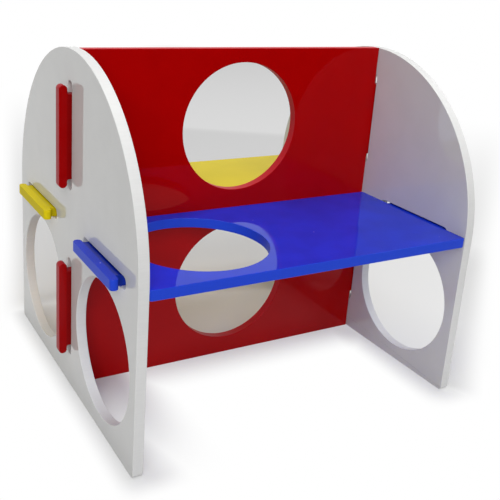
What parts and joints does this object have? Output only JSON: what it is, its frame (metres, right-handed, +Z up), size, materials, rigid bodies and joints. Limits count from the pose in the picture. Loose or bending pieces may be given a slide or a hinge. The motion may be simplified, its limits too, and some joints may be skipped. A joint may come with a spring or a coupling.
{
  "type": "small pet house",
  "caption": "Knock-down small pet house: arched acrylic end panels, a centre wall and shelves that plug together with headed tabs in slots, with round doorways between the rooms.",
  "frame": {"origin": "middle of the base, on the floor under the centre wall", "axes": "+X along the house towards the right end panel, +Y to the rear, +Z up; the front with the holed shelf faces -Y"},
  "size_m": [0.117, 0.102, 0.103],
  "materials": {
    "white_acrylic": "opal white, polished faces",
    "red_acrylic": "deep red, polished faces",
    "blue_acrylic": "deep blue, polished faces",
    "yellow_acrylic": "yellow, polished faces"
  },
  "bodies": {
    "centre_wall": {"centre_wall": "red_acrylic"},
    "left_end_panel": {"left_end_panel": "white_acrylic"},
    "right_end_panel": {"right_end_panel": "white_acrylic"},
    "front_shelf": {"front_shelf": "blue_acrylic"},
    "rear_shelf": {"rear_shelf": "yellow_acrylic"}
  },
  "joints": [
    {"name": "left_panel_pull", "type": "slide", "parent": "centre_wall", "child": "left_end_panel", "axis": [-1, 0, 0], "range_m": [0, 0.025]},
    {"name": "right_panel_pull", "type": "slide", "parent": "centre_wall", "child": "right_end_panel", "axis": [1, 0, 0], "range_m": [0, 0.025]},
    {"name": "front_shelf_slide", "type": "slide", "parent": "centre_wall", "child": "front_shelf", "axis": [0, -1, 0], "range_m": [0, 0.0026]},
    {"name": "rear_shelf_slide", "type": "slide", "parent": "centre_wall", "child": "rear_shelf", "axis": [0, 1, 0], "range_m": [0, 0.0026]}
  ]
}
